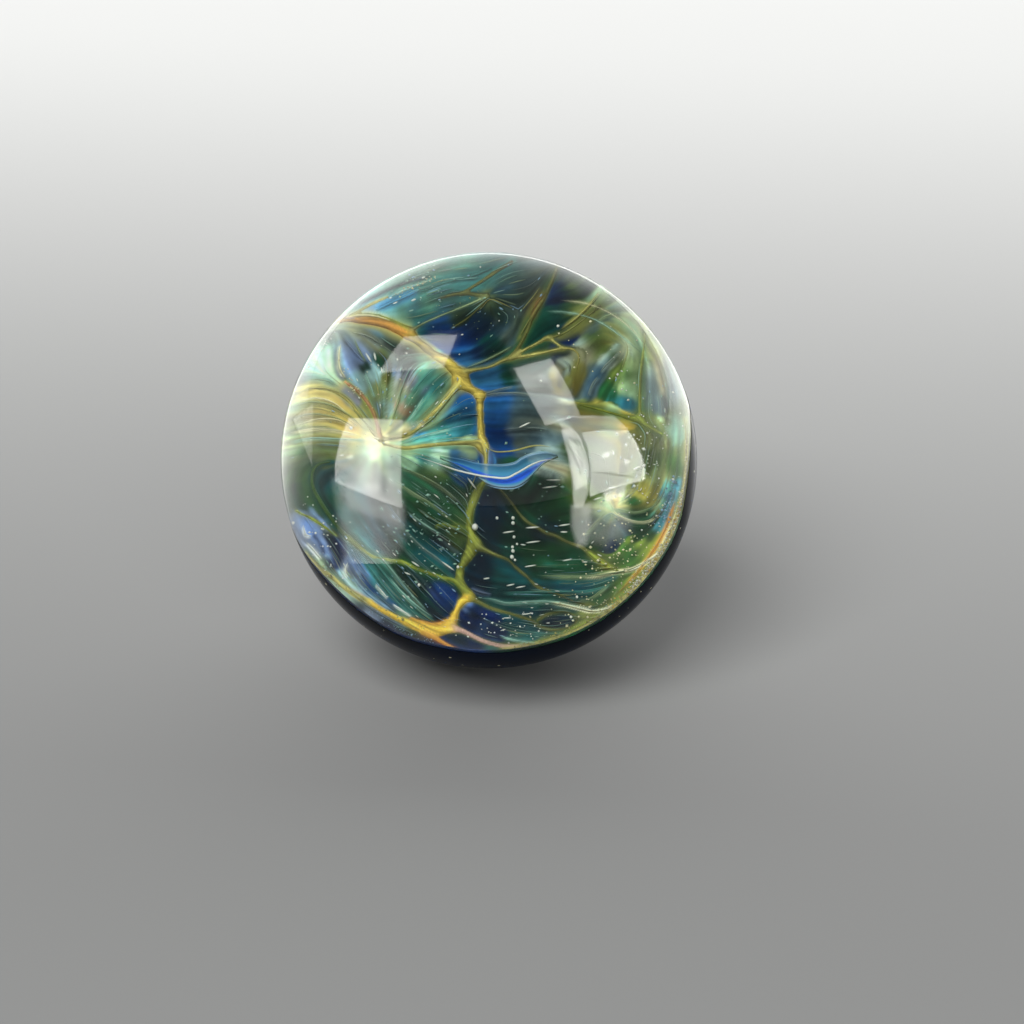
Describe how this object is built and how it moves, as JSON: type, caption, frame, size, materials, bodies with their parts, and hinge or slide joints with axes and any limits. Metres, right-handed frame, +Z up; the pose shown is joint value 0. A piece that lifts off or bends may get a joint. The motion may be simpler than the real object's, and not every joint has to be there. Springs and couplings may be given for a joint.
{
  "type": "glass marble",
  "caption": "Handmade glass marble: a ball with a clear front, a coloured bowl with amber veins and a blue ribbon inside, and a dark back.",
  "frame": {"origin": "centre of the ball", "axes": "+Z up as the marble sits for display; the clear face looks forward and up, halfway between -Y and +Z"},
  "size_m": [0.042, 0.042, 0.042],
  "materials": {
    "clear_glass": "fire-polished clear glass",
    "colour_glass": "translucent blue, teal and green glass",
    "amber_glass": "amber and gold glass veins",
    "blue_glass": "bright cobalt blue glass",
    "dark_glass": "fire-polished near-black navy glass with fine sparkle"
  },
  "bodies": {
    "root": {"clear_face": "clear_glass", "colour_layer": "colour_glass", "amber_web": "amber_glass", "blue_ribbon": "blue_glass", "dark_back": "dark_glass"}
  },
  "joints": []
}
